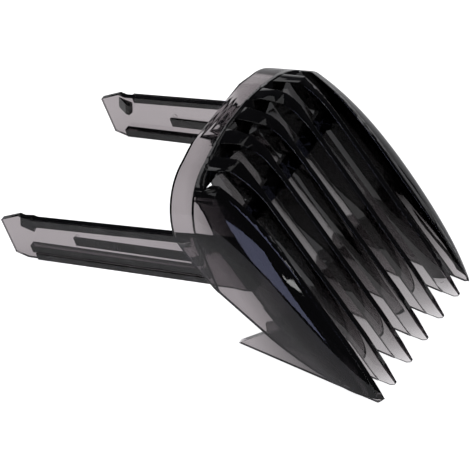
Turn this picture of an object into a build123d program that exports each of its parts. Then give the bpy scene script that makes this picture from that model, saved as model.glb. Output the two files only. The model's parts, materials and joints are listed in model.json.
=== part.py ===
from build123d import *
from math import cos, hypot, radians, sin
import os

# Adjustable guard comb for a hair clipper, moulded in clear smoked plastic.
# +X right, -Y towards the tooth tips, +Y towards the arm ends, +Z up.
# It stands on its tooth feet and on the heels of its two slide arms, z = 0.

# Driving dimensions: millimetres and degrees
PITCH = 7.0              # tooth spacing
OUTER_TOOTH_X = 19.84    # outer face of the two outer teeth
WALL = 1.3               # hood wall
HALF_WIDTH = 24.8        # half the hood's width
BAND = 5.6               # depth of the plain band along the rear rim
WEB = 1.1                # thin webs behind the inner teeth
SIDE_PLATE = 1.24        # outer teeth and their webs
ROOT_WIDTH = 3.9         # a tooth's width where its slot starts
TOOTH_WIDTH = 1.3        # along its blade
TIP_WIDTH = 0.7
ARM_ANGLE = 22.0         # slope of the hood's axis and its arms
ARM_OUT = 21.04          # outer face of each arm
ARM_THICK = 1.2
HINGE_GAP = 0.3          # slit where an arm flexes against its root

# Side view points (y, z)
RIM = (5.4, 41.8)        # rear rim on the centre line
SLOT_END = (-0.3, 45.0)
CROWN = (-6.9, 46.25)
BROW = (-9.6, 45.3)
NOSE = (-11.9, 43.5)     # where the crown turns down into the toothed front
TIP = (-45.9, 2.0)
RIB_TOP = (-5.2, 43.8)   # a tooth's inner edge, where it meets the crown
RIB_FOOT = (-41.6, 0.0)  # and where it meets the ground
PLATE_TOP = (-6.8, 27.8) # top of the straight edge that the clipper's blade rests on
PLATE_LOW = (-22.2, 11.2)
HEEL = (-11.5, 0.0)      # rear corner of the outer feet
HINGE = (-3.0, 24.0)     # flexing line of the arms
ARM_LOW = (39.0, 0.0)    # lower edge of an arm at its free end
ARM_TOP = (39.4, 11.7)   # upper edge at its free end
ARM_END = [(42.0, 0.0), (45.4, 8.2), (41.0, 11.7)]
ARM_LOW_SLOPE = 20.3
ARM_TOP_SLOPE = 22.2
TIP_NOSE = [(-70.0, 20.0), (-45.8, 2.4), (-45.4, 0.7), (-44.3, 0.0)]

# The rim's arch: half of its outline as (x, height above RIM along arm_up)
ARCH_TOP = (0.0, 1.0)
ARCH_BROW = (14.0, -1.0)
ARCH_CHEEK = (21.6, -5.2)
ARCH_SIDE = (HALF_WIDTH, -13.8)

# The toothed front: (distance down from NOSE, rise above the chord, half width, shoulder radius)
FRONT_STATIONS = [
    (-15.0, -5.6, 25.2, 25.0),
    (0.0, -0.2, 25.0, 14.0),
    (14.0, 0.0, 25.0, 7.5),
    (28.0, 0.2, 24.9, 6.3),
    (41.0, 0.0, 23.9, 5.5),
    (58.0, -0.9, 18.6, 3.0),
]

# The skirt's lower edge in side view, from the rim to the tips
SKIRT_TOP = 12.5         # below RIM along the rim's plane
SKIRT_BEND = (-3.4, 25.0)
SKIRT_CORNER = (-9.6, 19.4)
SKIRT_REAR = (-20.0, 13.2)
SKIRT_MID = (-31.5, 6.8)
SKIRT_TIP = (-44.9, 0.9)

ARM_RUN = 62.0           # from an arm's free end to beyond its root
FAR = 60.0               # longer than any part of the comb
SIDE_SQUARE = [(-FAR, -FAR), (FAR, -FAR), (FAR, FAR), (-FAR, FAR)]


def unit(start, end):
    """Side view direction from one point to another."""
    length = hypot(end[0] - start[0], end[1] - start[1])
    return ((end[0] - start[0]) / length, (end[1] - start[1]) / length)


def along(point, *steps):
    """A side view point moved by (direction, distance) steps."""
    y, z = point
    for direction, distance in steps:
        y += direction[0] * distance
        z += direction[1] * distance
    return (y, z)


def across(point, direction):
    """The plane square to a side view direction at a side view point, X kept."""
    return Plane(origin=(0, *point), x_dir=(1, 0, 0), z_dir=(0, *direction))


arm_dir = (-cos(radians(ARM_ANGLE)), sin(radians(ARM_ANGLE)))
arm_up = (sin(radians(ARM_ANGLE)), cos(radians(ARM_ANGLE)))
front_dir = unit(NOSE, TIP)
front_out = (front_dir[1], -front_dir[0])
front_length = hypot(NOSE[0] - TIP[0], NOSE[1] - TIP[1])
rib_dir = unit(RIB_TOP, RIB_FOOT)
slot_dir = (0.679, 0.734)                      # slope of the slots' end faces
slot_low = along(SLOT_END, (slot_dir, -4.6))
slot_high = along(SLOT_END, (slot_dir, 0.8))
band_front = across(along(RIM, (arm_dir, BAND)), arm_dir)


def block(profile, x_from, x_to):
    """A plate with a side view outline between two distances from the centre plane."""
    with BuildPart() as plate:
        with BuildSketch(Plane.YZ.offset(x_from)):
            with BuildLine():
                Polyline(*profile, close=True)
            make_face()
        extrude(amount=x_to - x_from)
    return plate.part


def hood_form(inset, reach):
    """The hood's full form inside its outer face by inset, run out behind the rim by reach."""
    rim = along(RIM, (arm_dir, -reach))
    tip = along(TIP, (front_dir, 5.0))
    with BuildPart() as form:
        with BuildSketch(Plane.YZ):
            with BuildLine():
                ThreePointArc(rim, SLOT_END, CROWN)
                ThreePointArc(CROWN, BROW, NOSE)
                Polyline(NOSE, tip, (tip[0], -FAR), (rim[0], -FAR), rim)
            make_face()
            if inset:
                offset(amount=-inset, mode=Mode.REPLACE)
        extrude(amount=FAR, both=True)
        with BuildSketch(across(along(RIM, (arm_dir, -reach)), arm_dir)):
            with BuildLine():
                ThreePointArc((-ARCH_BROW[0], ARCH_BROW[1]), ARCH_TOP, ARCH_BROW)
                ThreePointArc(ARCH_BROW, ARCH_CHEEK, ARCH_SIDE)
                Polyline(ARCH_SIDE, (HALF_WIDTH, -FAR), (-HALF_WIDTH, -FAR), (-HALF_WIDTH, ARCH_SIDE[1]))
                left_cheek = (-ARCH_CHEEK[0], ARCH_CHEEK[1])
                ThreePointArc((-HALF_WIDTH, ARCH_SIDE[1]), left_cheek, (-ARCH_BROW[0], ARCH_BROW[1]))
            make_face()
            if inset:
                offset(amount=-inset, mode=Mode.REPLACE)
        extrude(amount=1.5 * FAR, mode=Mode.INTERSECT)
        for down, rise, half, radius in FRONT_STATIONS:
            with BuildSketch(across(along(NOSE, (front_dir, down), (front_out, rise - inset)), front_dir)):
                with Locations((0, -FAR)):
                    RectangleRounded(2 * (half - inset), 2 * FAR, radius - inset)
        loft(mode=Mode.INTERSECT)
    return form.part


def save_pair(right, name):
    """Writes a right-hand piece, and its mirror image as the left-hand one."""
    with BuildPart() as left:
        mirror(right.part, about=Plane.YZ)
    for piece, side in ((right, "right"), (left, "left")):
        piece.part.label = f"{side}_{name}"
        export_step(piece.part, f"parts/{side}_{name}.step")


os.makedirs("parts", exist_ok=True)

# ---------------------------------------------------------------- hood shell
outer_form = hood_form(0.0, 0.0)
hollow = hood_form(WALL, 8.0)

# Everything below the skirts' lower edge, which sweeps up from the tips and turns into the rim
with BuildPart() as below_skirts:
    rim_high = along(RIM, (arm_up, 16.0))
    rim_low = along(RIM, (arm_up, -SKIRT_TOP))
    with BuildSketch(Plane.YZ):
        with BuildLine():
            Polyline((-FAR, -FAR), (FAR / 3, -FAR), (FAR / 3, FAR), rim_high, rim_low)
            ThreePointArc(rim_low, SKIRT_BEND, SKIRT_CORNER)
            Line(SKIRT_CORNER, SKIRT_REAR)
            ThreePointArc(SKIRT_REAR, SKIRT_MID, SKIRT_TIP)
            Polyline(SKIRT_TIP, (-FAR, SKIRT_TIP[1]), (-FAR, -FAR))
        make_face()
    extrude(amount=FAR, both=True)

with BuildPart() as shell:
    add(outer_form)
    add(hollow, mode=Mode.SUBTRACT)
    add(below_skirts.part, mode=Mode.SUBTRACT)

with BuildPart() as rim_band:
    add(shell.part)
    split(bisect_by=band_front, keep=Keep.BOTTOM)
rim_band.part.label = "rim_band"
export_step(rim_band.part, "parts/rim_band.step")

with BuildPart() as right_skirt:
    add(shell.part)
    split(bisect_by=band_front, keep=Keep.TOP)
    add(block(SIDE_SQUARE, OUTER_TOOTH_X, FAR), mode=Mode.INTERSECT)
save_pair(right_skirt, "skirt")

# ---------------------------------------------------------------- crown beam
# The crown between the band and the slots, with the deep beam that the teeth hang from
beam_top = along(RIM, (arm_dir, BAND), (arm_up, 2.2))
beam_back = along(RIM, (arm_dir, BAND), (arm_up, -3.5))
beam_zone = block([slot_high, slot_low, beam_back, beam_top], -OUTER_TOOTH_X, OUTER_TOOTH_X)
with BuildPart() as crown_beam:
    add(outer_form)
    add(beam_zone, mode=Mode.INTERSECT)
crown_beam.part.label = "crown_beam"
export_step(crown_beam.part, "parts/crown_beam.step")

# ---------------------------------------------------------------- crossbar
# It ties the teeth together a little below the crown
bar_start = along(RIB_TOP, (rib_dir, 8.8))
bar_end = along(RIB_TOP, (rib_dir, 12.6))
bar_depth = 1.6
bar_inner_end = along(bar_end, (front_out, -bar_depth))
bar_inner_start = along(bar_start, (front_out, -bar_depth))
inside_plate = OUTER_TOOTH_X - SIDE_PLATE
with BuildPart() as crossbar:
    add(block([bar_start, bar_end, bar_inner_end, bar_inner_start], -inside_plate, inside_plate))
crossbar.part.label = "crossbar"
export_step(crossbar.part, "parts/crossbar.step")

# ---------------------------------------------------------------- teeth
# A tooth's outline seen square to the front: broad at its root, a slim blade, a narrow tip
with BuildPart() as blade:
    with BuildSketch(across(NOSE, front_out)):
        with BuildLine():
            Polyline((0, 14.0), (ROOT_WIDTH / 2, 14.0), (ROOT_WIDTH / 2, 7.4))
            ThreePointArc((ROOT_WIDTH / 2, 7.4), (1.12, 1.5), (TOOTH_WIDTH / 2, -8.0))
            Polyline(
                (TOOTH_WIDTH / 2, -8.0),
                (TOOTH_WIDTH / 2, 4.0 - front_length),
                (TIP_WIDTH / 2, -front_length),
                (TIP_WIDTH / 2, -front_length - 6.0),
                (0, -front_length - 6.0),
            )
            mirror(about=Plane.YZ)
        make_face()
    extrude(amount=FAR / 2, both=True)

rib_zone = block([slot_low, slot_high, (-FAR, FAR), *TIP_NOSE, RIB_FOOT, RIB_TOP], -HALF_WIDTH, HALF_WIDTH)
outer_web = [RIB_FOOT, HEEL, PLATE_LOW, PLATE_TOP, beam_back, slot_low, RIB_TOP]
heel_cut = along(PLATE_LOW, (unit(PLATE_LOW, HEEL), 9.6))
inner_web = [RIB_FOOT, (heel_cut[0], 0.0), heel_cut, PLATE_LOW, PLATE_TOP, beam_back, slot_low, RIB_TOP]

for index in range(2, 7):
    x = (index - 4) * PITCH
    tooth_form = Pos(x, 0, 0) * blade.part
    with BuildPart() as tooth:
        add(outer_form)
        add(rib_zone, mode=Mode.INTERSECT)
        add(tooth_form, mode=Mode.INTERSECT)
    with BuildPart() as web:
        add(block(inner_web, x - WEB / 2, x + WEB / 2))
        add(crossbar.part, mode=Mode.SUBTRACT)
    tooth.part.label = f"tooth_{index}"
    web.part.label = f"tooth_{index}_web"
    export_step(tooth.part, f"parts/tooth_{index}.step")
    export_step(web.part, f"parts/tooth_{index}_web.step")

with BuildPart() as right_outer_tooth:
    add(outer_form)
    add(rib_zone, mode=Mode.INTERSECT)
    add(block(SIDE_SQUARE, inside_plate, OUTER_TOOTH_X), mode=Mode.INTERSECT)
    add(right_outer_tooth.solids().sort_by(SortBy.VOLUME)[-1], mode=Mode.REPLACE)
save_pair(right_outer_tooth, "outer_tooth")

with BuildPart() as right_side_plate:
    add(block(outer_web, inside_plate, OUTER_TOOTH_X))
    add(outer_form, mode=Mode.INTERSECT)
save_pair(right_side_plate, "side_plate")

# ---------------------------------------------------------------- slide arms
low_dir = (cos(radians(ARM_LOW_SLOPE)), -sin(radians(ARM_LOW_SLOPE)))
top_dir = (cos(radians(ARM_TOP_SLOPE)), -sin(radians(ARM_TOP_SLOPE)))
low_far = along(ARM_LOW, (low_dir, -ARM_RUN))
top_far = along(ARM_TOP, (top_dir, -ARM_RUN))
arm_outline = [ARM_LOW, *ARM_END, ARM_TOP, top_far, low_far]
arm_in = ARM_OUT - ARM_THICK
hinge_ahead = across(along(HINGE, (arm_dir, HINGE_GAP / 2)), arm_dir)
hinge_behind = across(along(HINGE, (arm_dir, -HINGE_GAP / 2)), arm_dir)


def strip(edge, direction, height, width, short, x_from, x_to):
    """A straight rib along an arm: height above one of its edges, starting short of its free end."""
    square = (-direction[1], direction[0])
    a = along(edge, (direction, -short), (square, height))
    b = along(a, (direction, short - ARM_RUN))
    return block([a, b, along(b, (square, width)), along(a, (square, width))], x_from, x_to)


with BuildPart() as latch_nub:
    with BuildSketch(Plane.XY.offset(8.2)):
        with BuildLine():
            Polyline((arm_in, 37.4), (arm_in - 1.2, 37.6), (arm_in - 1.2, 38.4), (arm_in, 40.8), close=True)
        make_face()
    extrude(amount=3.0)

arm_pieces = {
    "arm_web": block(arm_outline, arm_in, ARM_OUT),
    "arm_slide_rail": strip(ARM_LOW, low_dir, 1.1, 1.9, 1.5, arm_in - 1.4, arm_in),
    "arm_top_rail": strip(ARM_TOP, top_dir, -1.8, 1.8, 1.5, ARM_OUT, ARM_OUT + 0.5),
    "arm_outer_rail": strip(ARM_LOW, low_dir, 0.0, 1.6, 3.0, ARM_OUT, ARM_OUT + 0.4),
    "arm_guide_rib": strip(ARM_LOW, low_dir, 4.8, 2.1, 14.5, arm_in - 0.6, arm_in),
    "arm_latch_nub": latch_nub.part,
}
for name, whole in arm_pieces.items():
    with BuildPart() as piece:
        add(whole)
        split(bisect_by=hinge_behind, keep=Keep.BOTTOM)
    save_pair(piece, name)

# What is left of each arm ahead of its flexing line laps the side plate's outer face
root_front = block([(-FAR, 0), (-FAR, FAR), along(PLATE_LOW, ((0, 1), FAR)), (-14.0, 0)], arm_in, ARM_OUT)
with BuildPart() as right_arm_root:
    add(arm_pieces["arm_web"])
    split(bisect_by=hinge_ahead, keep=Keep.TOP)
    add(root_front, mode=Mode.SUBTRACT)
    add(right_skirt.part, mode=Mode.SUBTRACT)
    add(right_arm_root.solids().sort_by(SortBy.VOLUME)[-1], mode=Mode.REPLACE)
save_pair(right_arm_root, "arm_root")
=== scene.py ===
# %% [markdown]
# # A clipper guard comb in smoked clear plastic
#
# The comb is one injection moulding: a hood of seven teeth with two long slide arms. The CAD model
# gives every shape and place. What is left for Blender is what the eye reads as real plastic: the
# soft radius a mould leaves on each edge, the depth of the tint, the gloss, and the light.
#
# Everything here is in metres, in the frame that the CAD model uses. Lengths that are easier to
# read in millimetres are written as a number times MM.

# %% Load the frame
import json
import math

import bmesh
import bpy
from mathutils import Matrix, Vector
from mathutils.bvhtree import BVHTree


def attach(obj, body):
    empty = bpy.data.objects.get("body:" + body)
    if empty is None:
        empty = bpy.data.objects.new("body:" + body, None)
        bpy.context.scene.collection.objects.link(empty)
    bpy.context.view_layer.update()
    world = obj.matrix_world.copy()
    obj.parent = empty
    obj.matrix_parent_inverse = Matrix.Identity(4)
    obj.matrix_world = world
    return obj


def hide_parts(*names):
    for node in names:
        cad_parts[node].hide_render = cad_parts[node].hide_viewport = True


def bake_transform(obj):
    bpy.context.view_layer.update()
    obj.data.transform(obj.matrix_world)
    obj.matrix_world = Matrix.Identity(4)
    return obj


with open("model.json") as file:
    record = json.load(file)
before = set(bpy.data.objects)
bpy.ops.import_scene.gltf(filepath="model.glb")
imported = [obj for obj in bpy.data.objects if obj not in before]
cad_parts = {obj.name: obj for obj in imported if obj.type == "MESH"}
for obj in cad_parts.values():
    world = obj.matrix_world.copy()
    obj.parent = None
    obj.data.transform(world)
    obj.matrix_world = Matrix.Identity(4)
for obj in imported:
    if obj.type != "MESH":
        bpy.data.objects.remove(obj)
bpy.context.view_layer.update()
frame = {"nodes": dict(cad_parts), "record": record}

MM = 0.001
body_of_node = {}
for body, members in frame["record"]["behaviour"]["bodies"].items():
    for member in members:
        body_of_node[member] = body
slot_of_node = {}
for subpart in frame["record"]["subparts"]:
    slot_of_node[subpart["node"]] = subpart["material_slot"]

# %% [markdown]
# ## The camera
#
# A long lens far away keeps parallel edges nearly parallel, as product pictures do. The camera is
# placed by the direction it looks from and the point it looks at, which is easier to change than a
# location and three angles.

# %% Place the camera
CAMERA_AZIMUTH = math.radians(-60.23)
CAMERA_ELEVATION = math.radians(47.52)
CAMERA_DISTANCE = 0.8606
CAMERA_LENS = 313.96
LOOK_AT = Vector((0.26, 0.78, 7.43)) * MM

camera_back = Vector((
    math.sin(CAMERA_AZIMUTH) * math.cos(CAMERA_ELEVATION),
    -math.cos(CAMERA_AZIMUTH) * math.cos(CAMERA_ELEVATION),
    math.sin(CAMERA_ELEVATION),
))
bpy.ops.object.camera_add(location=LOOK_AT + camera_back * CAMERA_DISTANCE)
camera = bpy.context.object
camera.name = "camera"
camera.rotation_euler = (-camera_back).to_track_quat("-Z", "Y").to_euler()
camera.data.lens = CAMERA_LENS
camera.data.clip_start = 0.01
camera.data.clip_end = 20.0
bpy.context.scene.camera = camera
print("camera at", [round(c, 3) for c in camera.location])

# %% [markdown]
# ## Mix nodes
#
# The floor, the room and the plastic each blend one value into another. A Mix node holds a pair of
# inputs for every type of value, and calls each pair A and B. So the pair is picked by its place in
# the list of inputs, which differs for numbers and colours.

# %% Write the two kinds of mix
NUMBER_A, NUMBER_B, NUMBER_OUT = 2, 3, 0
COLOUR_A, COLOUR_B, COLOUR_OUT = 6, 7, 2


def add_number_mix(nodes, at_0, at_1):
    """A Mix node that gives one number at factor 0 and the other at factor 1 and above."""
    mix = nodes.new("ShaderNodeMix")
    mix.data_type = "FLOAT"
    mix.inputs[NUMBER_A].default_value = at_0
    mix.inputs[NUMBER_B].default_value = at_1
    return mix


def add_colour_mix(nodes, at_0, at_1):
    """A Mix node that gives one colour at factor 0 and the other at factor 1 and above."""
    mix = nodes.new("ShaderNodeMix")
    mix.data_type = "RGBA"
    mix.inputs[COLOUR_A].default_value = (*at_0, 1)
    mix.inputs[COLOUR_B].default_value = (*at_1, 1)
    return mix


print("number mix inputs", NUMBER_A, NUMBER_B, "colour mix inputs", COLOUR_A, COLOUR_B)

# %% [markdown]
# ## The floor
#
# Clear plastic shows what is behind it, so its floor is really its lamp. The floor is a little
# bright by itself and takes a soft shadow from the lights. A white floor would also lay a grey
# veil on every glossy face that mirrors it, so light that has been mirrored even once sees a dimmer
# floor. Glossy Depth counts those mirrorings, and the mix node cuts the count off at 1.

# %% Lay the floor
FLOOR_SIZE = 6.0
FLOOR_DROP = 0.05 * MM
FLOOR_GREY = (0.80, 0.80, 0.80, 1)
FLOOR_GLOW = 0.85
FLOOR_GLOW_MIRRORED = 0.34

bpy.ops.object.select_all(action="DESELECT")
bpy.ops.mesh.primitive_plane_add(size=FLOOR_SIZE, location=(0, 0, -FLOOR_DROP))
floor = bpy.context.object
floor.name = "floor"
floor_paint = bpy.data.materials.new("pale_floor")
floor_paint.use_nodes = True
nodes, links = floor_paint.node_tree.nodes, floor_paint.node_tree.links
paint = nodes["Principled BSDF"]
paint.inputs["Base Color"].default_value = FLOOR_GREY
paint.inputs["Roughness"].default_value = 0.9
paint.inputs["Specular IOR Level"].default_value = 0.1
glow = nodes.new("ShaderNodeEmission")
glow.inputs["Color"].default_value = (1, 1, 1, 1)
ray = nodes.new("ShaderNodeLightPath")
glow_mix = add_number_mix(nodes, FLOOR_GLOW, FLOOR_GLOW_MIRRORED)
both = nodes.new("ShaderNodeAddShader")
links.new(ray.outputs["Glossy Depth"], glow_mix.inputs["Factor"])
links.new(glow_mix.outputs[NUMBER_OUT], glow.inputs["Strength"])
links.new(paint.outputs[0], both.inputs[0])
links.new(glow.outputs[0], both.inputs[1])
links.new(both.outputs[0], nodes["Material Output"].inputs["Surface"])
floor.data.materials.append(floor_paint)
print("floor", floor.dimensions.x, "m")

# %% [markdown]
# ## The studio light
#
# Black gloss is drawn by what it mirrors. One big soft lamp from above gives the floor its even
# light. A narrow strip lamp in front draws a thin bright line along each tooth's rounded edge, and a
# small one behind does the same along the arched tops. A blue panel low on the left turns the
# rounded shoulder of the hood slightly blue.

# %% Hang the lamps
LAMP_TARGET = Vector((0, -10.0, 20.0)) * MM
WHITE = (1.0, 1.0, 1.0)


def add_panel(name, direction, distance, size, watts, colour=WHITE):
    """A rectangular lamp that stands in a direction from the comb and faces it. Sizes are metres."""
    direction = Vector(direction)
    place = LAMP_TARGET + direction.normalized() * distance
    bpy.ops.object.light_add(type="AREA", location=place)
    lamp = bpy.context.object
    lamp.name = name
    lamp.data.shape = "RECTANGLE"
    lamp.data.size, lamp.data.size_y = size
    lamp.data.energy = watts
    lamp.data.color = colour
    lamp.rotation_euler = direction.to_track_quat("Z", "Y").to_euler()


add_panel("top_softbox", (0.1, 0.35, 1.0), distance=0.9, size=(0.9, 0.9), watts=1.6)
add_panel(
    "blue_panel", (-0.75, -0.55, 0.26), distance=0.7, size=(0.46, 0.30), watts=0.9,
    colour=(0.60, 0.64, 1.0),
)
add_panel("edge_strip", (-0.20, -0.90, 0.35), distance=0.6, size=(0.22, 0.02), watts=0.08)
add_panel(
    "arch_panel", (-0.738, 0.335, 0.586), distance=0.6, size=(0.16, 0.16), watts=0.06,
    colour=(0.95, 0.96, 1.0),
)

# %% [markdown]
# ## The room
#
# The room fills the shadows with a pale light from all sides. As with the floor, light that has
# been mirrored sees something else: a nearly black room, which keeps the gloss deep.

# %% Paint the room
ROOM_COLOUR = (0.90, 0.90, 0.90)
ROOM_COLOUR_MIRRORED = (0.10, 0.10, 0.115)
ROOM_STRENGTH = 0.55

world = bpy.data.worlds.new("studio")
bpy.context.scene.world = world
world.use_nodes = True
nodes, links = world.node_tree.nodes, world.node_tree.links
room = nodes["Background"]
ray = nodes.new("ShaderNodeLightPath")
room_mix = add_colour_mix(nodes, ROOM_COLOUR, ROOM_COLOUR_MIRRORED)
links.new(ray.outputs["Glossy Depth"], room_mix.inputs["Factor"])
links.new(room_mix.outputs[COLOUR_OUT], room.inputs["Color"])
room.inputs["Strength"].default_value = ROOM_STRENGTH
bpy.context.scene.view_settings.view_transform = "Standard"
print("room strength", ROOM_STRENGTH)

# %% [markdown]
# ## Handling and flow
#
# A real moulding isn't a perfect mirror. Handling leaves faint smears and small dents, and the flow
# of the melt leaves long shallow waves. The mould's cutter leaves fine streaks down the teeth. One
# node group makes them all, and each finish uses it with its own values. The streaks are a noise
# that is turned to lie along the teeth and then drawn out 14 times, which a Mapping node of type
# Texture does in that order.

# %% Make the handling and flow group
SMEAR_SCALE = 160.0
SMEAR_FROM, SMEAR_TO = 0.45, 0.75          # the noise values where a smear begins and is full
WAVE_SCALE = 220.0
WAVE_MAPPING = (1.0, 0.35, 0.35)           # less than 1 draws the waves out along the arms and teeth
DENT_SCALE = 2600.0
STREAK_SCALE = 2400.0
STREAK_TILT = math.radians(50.7)
STREAK_LENGTHS = (1.0, 14.0, 1.0)


def add_math(nodes, operation, first, second):
    """The output of a Math node that works on two other outputs."""
    node = nodes.new("ShaderNodeMath")
    node.operation = operation
    links = node.id_data.links
    links.new(first, node.inputs[0])
    links.new(second, node.inputs[1])
    return node.outputs[0]


def add_noise(nodes, vector, scale, detail):
    """A Noise node. Its spots are about 1 / scale metres across."""
    node = nodes.new("ShaderNodeTexNoise")
    node.inputs["Scale"].default_value = scale
    node.inputs["Detail"].default_value = detail
    node.id_data.links.new(vector, node.inputs["Vector"])
    return node


def add_number_inputs(group, defaults):
    """Gives a node group a number input for each name, with its default value."""
    for name, default in defaults.items():
        socket = group.interface.new_socket(name=name, in_out="INPUT", socket_type="NodeSocketFloat")
        socket.default_value = default


def make_wear_group():
    """Shader node group: a roughness that smears change, and a height of waves, dents and streaks."""
    group = bpy.data.node_groups.new("moulding_wear", "ShaderNodeTree")
    add_number_inputs(
        group, {"Base Roughness": 0.05, "Smear": 0.1, "Wave": 0.5, "Fine": 0.2, "Streak": 0.0}
    )
    for name in ("Roughness", "Height"):
        group.interface.new_socket(name=name, in_out="OUTPUT", socket_type="NodeSocketFloat")
    nodes, links = group.nodes, group.links
    into = nodes.new("NodeGroupInput")
    out = nodes.new("NodeGroupOutput")
    place = nodes.new("ShaderNodeTexCoord").outputs["Object"]

    smears = add_noise(nodes, place, SMEAR_SCALE, detail=4.0)
    smears.inputs["Distortion"].default_value = 0.6
    smear_edge = nodes.new("ShaderNodeMapRange")
    smear_edge.inputs["From Min"].default_value = SMEAR_FROM
    smear_edge.inputs["From Max"].default_value = SMEAR_TO
    links.new(smears.outputs[0], smear_edge.inputs["Value"])
    smear_share = add_math(nodes, "MULTIPLY", smear_edge.outputs["Result"], into.outputs["Smear"])
    roughness = add_math(nodes, "ADD", smear_share, into.outputs["Base Roughness"])
    links.new(roughness, out.inputs["Roughness"])

    stretch = nodes.new("ShaderNodeMapping")
    stretch.inputs["Scale"].default_value = WAVE_MAPPING
    links.new(place, stretch.inputs["Vector"])
    waves = add_noise(nodes, stretch.outputs["Vector"], WAVE_SCALE, detail=1.0)
    dents = add_noise(nodes, place, DENT_SCALE, detail=2.0)
    lie = nodes.new("ShaderNodeMapping")
    lie.vector_type = "TEXTURE"
    lie.inputs["Rotation"].default_value = (STREAK_TILT, 0, 0)
    lie.inputs["Scale"].default_value = STREAK_LENGTHS
    links.new(place, lie.inputs["Vector"])
    streaks = add_noise(nodes, lie.outputs["Vector"], STREAK_SCALE, detail=1.0)

    height = add_math(nodes, "MULTIPLY", waves.outputs[0], into.outputs["Wave"])
    for noise, share in ((dents, "Fine"), (streaks, "Streak")):
        more = add_math(nodes, "MULTIPLY", noise.outputs[0], into.outputs[share])
        height = add_math(nodes, "ADD", height, more)
    links.new(height, out.inputs["Height"])
    return group


moulding_wear = make_wear_group()
print("group outputs", [s.name for s in moulding_wear.interface.items_tree if s.in_out == "OUTPUT"])

# %% [markdown]
# ## Painted shade towards the root
#
# Under the hood, the webs, teeth and shell look through to the comb's dark inside and its shadowed
# floor, so they look darker near their roots. That shade is painted into the surface colour, as a
# tint that deepens towards the root. A group gives that as a mask from 0 at the root to 1 at the
# free edge, measured along a direction of the comb.

# %% Make the painted root shade group
def make_root_shade_group():
    """Shader node group: a painted-shade mask from 0 at Start to 1 at End, in metres along Direction.

    Start is the larger number when the root lies further along than the free edge. A Curve above 1
    keeps the mask low for longer.
    """
    group = bpy.data.node_groups.new("root_shade_group", "ShaderNodeTree")
    direction = group.interface.new_socket(
        name="Direction", in_out="INPUT", socket_type="NodeSocketVector"
    )
    direction.default_value = (0, 0, 1)
    add_number_inputs(group, {"Start": 0.0, "End": 0.03, "Curve": 1.0})
    group.interface.new_socket(name="Mask", in_out="OUTPUT", socket_type="NodeSocketFloat")
    nodes, links = group.nodes, group.links
    into = nodes.new("NodeGroupInput")
    out = nodes.new("NodeGroupOutput")
    place = nodes.new("ShaderNodeTexCoord")
    distance = nodes.new("ShaderNodeVectorMath")
    distance.operation = "DOT_PRODUCT"
    ramp = nodes.new("ShaderNodeMapRange")
    links.new(place.outputs["Object"], distance.inputs[0])
    links.new(into.outputs["Direction"], distance.inputs[1])
    links.new(distance.outputs["Value"], ramp.inputs["Value"])
    links.new(into.outputs["Start"], ramp.inputs["From Min"])
    links.new(into.outputs["End"], ramp.inputs["From Max"])
    mask = add_math(nodes, "POWER", ramp.outputs["Result"], into.outputs["Curve"])
    links.new(mask, out.inputs["Mask"])
    return group


root_shade_group = make_root_shade_group()
print("taper group has", len(root_shade_group.nodes), "nodes")

# %% [markdown]
# ## Smoked plastic
#
# The tint is in the plastic and not on it: a thin web is pale, and a deep tooth is nearly black,
# though both are the same material. So the colour comes from Volume Absorption, whose density is a
# plain number. The surface shader is clear but for a painted shade that darkens each wall towards
# its root. Rays from lamps pass as if the surface were a tinted filter, which keeps the shadow under
# the comb soft and grey.

# %% Write the smoked finish
PLASTIC_IOR = 1.5
DEPTH_COLOUR = (0.10, 0.03, 0.06, 1)
DENT_DEPTH_SHARE = 0.05
BUMP_STRENGTH = 0.25
BUMP_DISTANCE = 0.05 * MM
CLEAR = (1, 1, 1)


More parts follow.
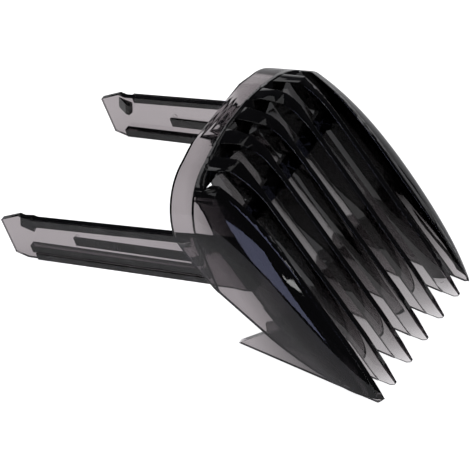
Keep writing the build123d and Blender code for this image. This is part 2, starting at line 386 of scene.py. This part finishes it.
def make_smoked(
    name, density, filter_colour, roughness, smear, wave, streak, direction, start, end, curve, root_shade_tint
):
    """Clear glossy plastic that darkens with depth, with a surface colour of painted shade at the root.

    density is per metre. start and end bound the painted root shade, in millimetres along direction.
    """
    finish = bpy.data.materials.new(name)
    finish.use_nodes = True
    nodes, links = finish.node_tree.nodes, finish.node_tree.links
    shell = nodes["Principled BSDF"]
    shell.inputs["Transmission Weight"].default_value = 1.0
    shell.inputs["IOR"].default_value = PLASTIC_IOR
    root_shade_mask = nodes.new("ShaderNodeGroup")
    root_shade_mask.node_tree = root_shade_group
    root_shade_mask.inputs["Direction"].default_value = direction
    root_shade_mask.inputs["Start"].default_value = start * MM
    root_shade_mask.inputs["End"].default_value = end * MM
    root_shade_mask.inputs["Curve"].default_value = curve
    # Painted shade: the surface colour runs from the root colour at the root to clear at the free edge.
    painted_shade_tint = add_colour_mix(nodes, root_shade_tint, CLEAR)
    links.new(root_shade_mask.outputs["Mask"], painted_shade_tint.inputs["Factor"])
    links.new(painted_shade_tint.outputs[COLOUR_OUT], shell.inputs["Base Color"])
    wear = nodes.new("ShaderNodeGroup")
    wear.node_tree = moulding_wear
    wear.inputs["Base Roughness"].default_value = roughness
    wear.inputs["Smear"].default_value = smear
    wear.inputs["Wave"].default_value = wave
    wear.inputs["Fine"].default_value = DENT_DEPTH_SHARE
    wear.inputs["Streak"].default_value = streak
    bump = nodes.new("ShaderNodeBump")
    bump.inputs["Strength"].default_value = BUMP_STRENGTH
    bump.inputs["Distance"].default_value = BUMP_DISTANCE
    links.new(wear.outputs["Roughness"], shell.inputs["Roughness"])
    links.new(wear.outputs["Height"], bump.inputs["Height"])
    links.new(bump.outputs["Normal"], shell.inputs["Normal"])
    passing = nodes.new("ShaderNodeBsdfTransparent")
    passing.inputs["Color"].default_value = (*filter_colour, 1)
    ray = nodes.new("ShaderNodeLightPath")
    either = nodes.new("ShaderNodeMixShader")
    links.new(ray.outputs["Is Shadow Ray"], either.inputs[0])
    links.new(shell.outputs[0], either.inputs[1])
    links.new(passing.outputs[0], either.inputs[2])
    depth = nodes.new("ShaderNodeVolumeAbsorption")
    depth.inputs["Color"].default_value = DEPTH_COLOUR
    depth.inputs["Density"].default_value = density
    out = nodes["Material Output"]
    links.new(either.outputs[0], out.inputs["Surface"])
    links.new(depth.outputs[0], out.inputs["Volume"])
    return finish


print("plastic with IOR", PLASTIC_IOR)

# %% [markdown]
# The finishes differ in how dark and how worn they are, and in their painted shade. The hood's shell
# is painted darker towards its front shoulder and the webs towards the crown, while the arms hardly
# change. A side plate is a web too, but its painted shade darkens it towards the front, and its foot
# is pale. The teeth and the crown are the thickest plastic and carry the deepest painted shade, so
# they are black but for the tooth tips.

# %% Mix the finishes
TOWARDS_TIPS = (0.0, -0.634, -0.774)      # down the front, from the crown to the tooth tips
OUT_OF_FRONT = (0.0, -0.774, 0.634)       # square out of the front
ALONG_ARMS = (0.0, 1.0, 0.0)              # back, along the comb
PALE_FILTER = (0.82, 0.81, 0.82)

# Each root tint below is the painted shade at that wall's root.
finishes = {
    "smoked_shell": make_smoked(
        "smoked_shell", density=950.0, filter_colour=PALE_FILTER,
        roughness=0.03, smear=0.05, wave=0.3, streak=0.05,
        direction=OUT_OF_FRONT, start=36.5, end=24.0, curve=1.0, root_shade_tint=(0.04, 0.04, 0.05),
    ),
    "smoked_rib": make_smoked(
        "smoked_rib", density=560.0, filter_colour=(0.55, 0.55, 0.55),
        roughness=0.03, smear=0.04, wave=0.1, streak=0.10,
        direction=TOWARDS_TIPS, start=-20.0, end=29.0, curve=3.5, root_shade_tint=(0.02, 0.02, 0.02),
    ),
    "smoked_web": make_smoked(
        "smoked_web", density=600.0, filter_colour=PALE_FILTER,
        roughness=0.04, smear=0.06, wave=0.2, streak=0.30,
        direction=TOWARDS_TIPS, start=-28.0, end=29.0, curve=2.0, root_shade_tint=(0.09, 0.09, 0.09),
    ),
    "smoked_arm": make_smoked(
        "smoked_arm", density=930.0, filter_colour=(0.85, 0.84, 0.84),
        roughness=0.04, smear=0.06, wave=0.3, streak=0.0,
        direction=ALONG_ARMS, start=-14.0, end=14.0, curve=1.0, root_shade_tint=(0.72, 0.71, 0.72),
    ),
}
side_finish = make_smoked(
    "smoked_web_side", density=800.0, filter_colour=PALE_FILTER,
    roughness=0.04, smear=0.06, wave=0.2, streak=0.20,
    direction=OUT_OF_FRONT, start=36.0, end=12.0, curve=1.6, root_shade_tint=(0.06, 0.06, 0.065),
)
print("finishes", sorted(finishes), "and", side_finish.name)

# %% [markdown]
# ## Rounded mould edges
#
# No moulded edge is sharp: the cutter that made the mould leaves a radius, and the light line along
# it is what tells the eye how big the thing is. Each CAD node keeps its shape, so it is copied
# rather than modelled again. The CAD mesh is loose triangles, so the copy's points are merged and
# its flat faces made whole first, because a bevel needs clean edges to follow.

# %% Copy a CAD node
WELD_DISTANCE = 0.002 * MM
FLAT_ANGLE = math.radians(0.05)


def select_only(*pieces):
    """Selects these objects and nothing else, and makes the first one active."""
    bpy.ops.object.select_all(action="DESELECT")
    for piece in pieces:
        piece.select_set(True)
    bpy.context.view_layer.objects.active = pieces[0]


def turn_faces_outward():
    """Turns all faces of the active mesh outward, and ends in Object Mode."""
    bpy.ops.object.mode_set(mode="EDIT")
    bpy.ops.mesh.select_all(action="SELECT")
    bpy.ops.mesh.normals_make_consistent(inside=False)
    bpy.ops.object.mode_set(mode="OBJECT")


def copy_node(name):
    """A loose copy of a CAD node with its triangles merged into whole faces."""
    select_only(frame["nodes"][name])
    bpy.ops.object.duplicate()
    piece = bpy.context.object
    for key in [key for key in piece.keys() if key.startswith("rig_")]:
        del piece[key]
    piece.parent = None
    bpy.ops.object.mode_set(mode="EDIT")
    bpy.ops.mesh.select_all(action="SELECT")
    bpy.ops.mesh.remove_doubles(threshold=WELD_DISTANCE)
    bpy.ops.mesh.dissolve_limited(angle_limit=FLAT_ANGLE)
    turn_faces_outward()
    return piece


print("points closer than", WELD_DISTANCE / MM, "mm are merged")

# %% [markdown]
# Only free edges are rounded. Where two nodes meet face to face, the real plastic runs on without a
# line, and a bevel there would cut a groove. A free edge is one with no other node close to its
# middle or its ends, which a search tree over all the other nodes' faces tells quickly. Free edges
# get a bevel weight, and the Bevel modifier follows the weights.

# %% Round the free edges of a piece
EDGE_LIMIT = math.radians(28)
SMOOTH_LIMIT = math.radians(40)
TOUCHING = 0.03 * MM
SPOTS_ON_EDGE = (0.02, 0.5, 0.98)
BEVEL_STEPS = 2


def other_faces(*names):
    """A search tree over the faces of every CAD node but these."""
    points, faces = [], []
    for name, node in frame["nodes"].items():
        if name in names:
            continue
        first = len(points)
        points.extend(v.co.copy() for v in node.data.vertices)
        faces.extend([first + corner for corner in face.vertices] for face in node.data.polygons)
    return BVHTree.FromPolygons(points, faces)


def weigh_free_edges(piece, neighbours, near):
    """Gives a bevel weight of 1 to each sharp outward edge with no other node near."""
    shape = bmesh.new()
    shape.from_mesh(piece.data)
    weight = shape.edges.layers.float.new("bevel_weight_edge")
    free = 0
    for edge in shape.edges:
        if len(edge.link_faces) != 2 or edge.calc_face_angle_signed() < EDGE_LIMIT:
            continue
        start, end = edge.verts[0].co, edge.verts[1].co
        spots = [start.lerp(end, share) for share in SPOTS_ON_EDGE]
        if all(neighbours.find_nearest(spot, near)[0] is None for spot in spots):
            edge[weight] = 1.0
            free += 1
    shape.to_mesh(piece.data)
    shape.free()
    return free


def round_edges(piece, radius, names, near=TOUCHING):
    """Rounds the free sharp edges of a piece that stands for these CAD nodes, and shades it smooth."""
    free = weigh_free_edges(piece, other_faces(*names), near)
    select_only(piece)
    bpy.ops.object.shade_smooth_by_angle(angle=SMOOTH_LIMIT)
    bpy.ops.object.modifier_add(type="BEVEL")
    bevel = piece.modifiers[-1]
    bevel.width = radius
    bevel.segments = BEVEL_STEPS
    bevel.limit_method = "WEIGHT"
    bevel.use_clamp_overlap = False
    bevel.harden_normals = True
    bpy.ops.object.modifier_apply(modifier=bevel.name)
    return free


def put_finish(piece, name):
    """Gives a piece the finish of a CAD node's slot. The side plates have a finish of their own."""
    piece.data.materials.clear()
    if name.endswith("side_plate"):
        piece.data.materials.append(side_finish)
    else:
        piece.data.materials.append(finishes[slot_of_node[name]])


print("edges sharper than", round(math.degrees(EDGE_LIMIT)), "degrees are rounded if free")

# %% [markdown]
# The radius is largest on the teeth, which slide over skin, and smallest on the arms' little rails.
# The rim band's front edges are all close to its neighbours, so it asks for more room, and only its
# open rear rim is rounded.

# %% Round the pieces that sit on one body
EDGE_RADIUS = {
    "smoked_shell": 0.12 * MM,
    "smoked_rib": 0.14 * MM,
    "smoked_web": 0.10 * MM,
    "smoked_arm": 0.08 * MM,
}
RIM_ROOM = 1.0 * MM
CROSSING = ("arm_web", "arm_root")        # these cross a hinge and are joined further down

for name in sorted(frame["nodes"]):
    if name.endswith(CROSSING):
        continue
    piece = copy_node(name)
    near = RIM_ROOM if name == "rim_band" else TOUCHING
    free = round_edges(piece, EDGE_RADIUS[slot_of_node[name]], [name], near)
    piece.name = name + "_rounded"
    put_finish(piece, name)
    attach(piece, body_of_node[name])
    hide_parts(name)
    print(piece.name, free, "free edges,", len(piece.data.polygons), "faces")

# %% [markdown]
# ## The arms' flexing blades
#
# Each arm is one long springy blade that grows out of the hood. The CAD model parts it with a fine
# slit where its hinge is, but the real one only bends there. So the two halves are joined: their
# facing ends are selected by place, and bridging them replaces both ends with four walls.

# %% Join each arm's blade across its hinge
HINGE_POINT = Vector((0, -3.0, 24.0)) * MM
ARM_SLOPE = math.radians(22.0)
ARM_BACK = Vector((0, math.cos(ARM_SLOPE), -math.sin(ARM_SLOPE)))
SLIT_REACH = 0.2 * MM
FACING = 0.99                             # a face this square to the arm is one of its ends


def select_faces(piece, wanted):
    """Selects just the faces that wanted() accepts, enters Edit Mode, and says how many there are."""
    bpy.ops.object.mode_set(mode="EDIT")
    bpy.ops.mesh.select_mode(type="FACE")
    bpy.ops.mesh.select_all(action="DESELECT")
    bpy.ops.object.mode_set(mode="OBJECT")
    chosen = 0
    for face in piece.data.polygons:
        face.select = wanted(face)
        chosen += face.select
    bpy.ops.object.mode_set(mode="EDIT")
    return chosen


def faces_the_slit(face):
    """Whether a face is one of the two ends that look at each other across the slit."""
    near_hinge = abs((face.center - HINGE_POINT).dot(ARM_BACK)) < SLIT_REACH
    return near_hinge and abs(face.normal.dot(ARM_BACK)) > FACING


for side in ("left", "right"):
    blade = copy_node(side + "_arm_web")
    root = copy_node(side + "_arm_root")
    select_only(blade, root)
    bpy.ops.object.join()
    ends = select_faces(blade, faces_the_slit)
    bpy.ops.mesh.bridge_edge_loops()
    turn_faces_outward()
    round_edges(blade, EDGE_RADIUS["smoked_arm"], [side + "_arm_web", side + "_arm_root"])
    blade.name = side + "_arm_blade"
    put_finish(blade, side + "_arm_web")
    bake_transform(blade)
    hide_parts(side + "_arm_web", side + "_arm_root")
    print(blade.name, "bridged", ends, "ends,", len(blade.data.polygons), "faces")

# %% [markdown]
# ## Ejector marks
#
# Pins push a moulding out of its mould, and each leaves a faint round print. Both arms have one on
# the inner face. It starts as a cylinder with 32 sides, lying on its side. Its inner end is inset
# twice and the middle pushed back in, which leaves a low ring with a dished middle. The right arm's
# mark is made first, and the left one is a copy with its own mesh, mirrored across the comb.

# %% Press an ejector mark into each arm
MARK_RADIUS = 0.55 * MM
MARK_RISE = 0.05 * MM
MARK_DISH = 0.7 * MARK_RISE
MARK_PLACE = Vector((19.84, 26.7, 12.5)) * MM        # on the right arm's inner face
MARK_INSETS = (0.12 * MARK_RADIUS, 0.18 * MARK_RADIUS)


def make_ejector_mark():
    """A low ring with a dished middle on the right arm's inner face."""
    bpy.ops.object.select_all(action="DESELECT")
    bpy.ops.mesh.primitive_cylinder_add(
        vertices=32,
        radius=MARK_RADIUS,
        depth=MARK_RISE * 2,
        location=MARK_PLACE,
        rotation=(0, math.radians(90), 0),
    )
    mark = bpy.context.object
    bpy.ops.object.transform_apply(location=True, rotation=True, scale=True)
    select_faces(mark, lambda face: face.normal.x < -0.9)
    for thickness in MARK_INSETS:
        bpy.ops.mesh.inset(thickness=thickness, depth=0)
    bpy.ops.transform.translate(value=(MARK_DISH, 0, 0))
    bpy.ops.object.mode_set(mode="OBJECT")
    bpy.ops.object.shade_smooth_by_angle(angle=SMOOTH_LIMIT)
    return mark


right_mark = make_ejector_mark()
right_mark.name = "right_arm_ejector_mark"
select_only(right_mark)
bpy.ops.object.duplicate()
left_mark = bpy.context.object
left_mark.name = "left_arm_ejector_mark"
left_mark.scale.x = -1
bpy.ops.object.transform_apply(location=True, rotation=True, scale=True)
turn_faces_outward()
for side, mark in (("left", left_mark), ("right", right_mark)):
    put_finish(mark, side + "_arm_web")
    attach(mark, side + "_arm")
    print(mark.name, [round(c / MM, 2) for c in mark.bound_box[0]])
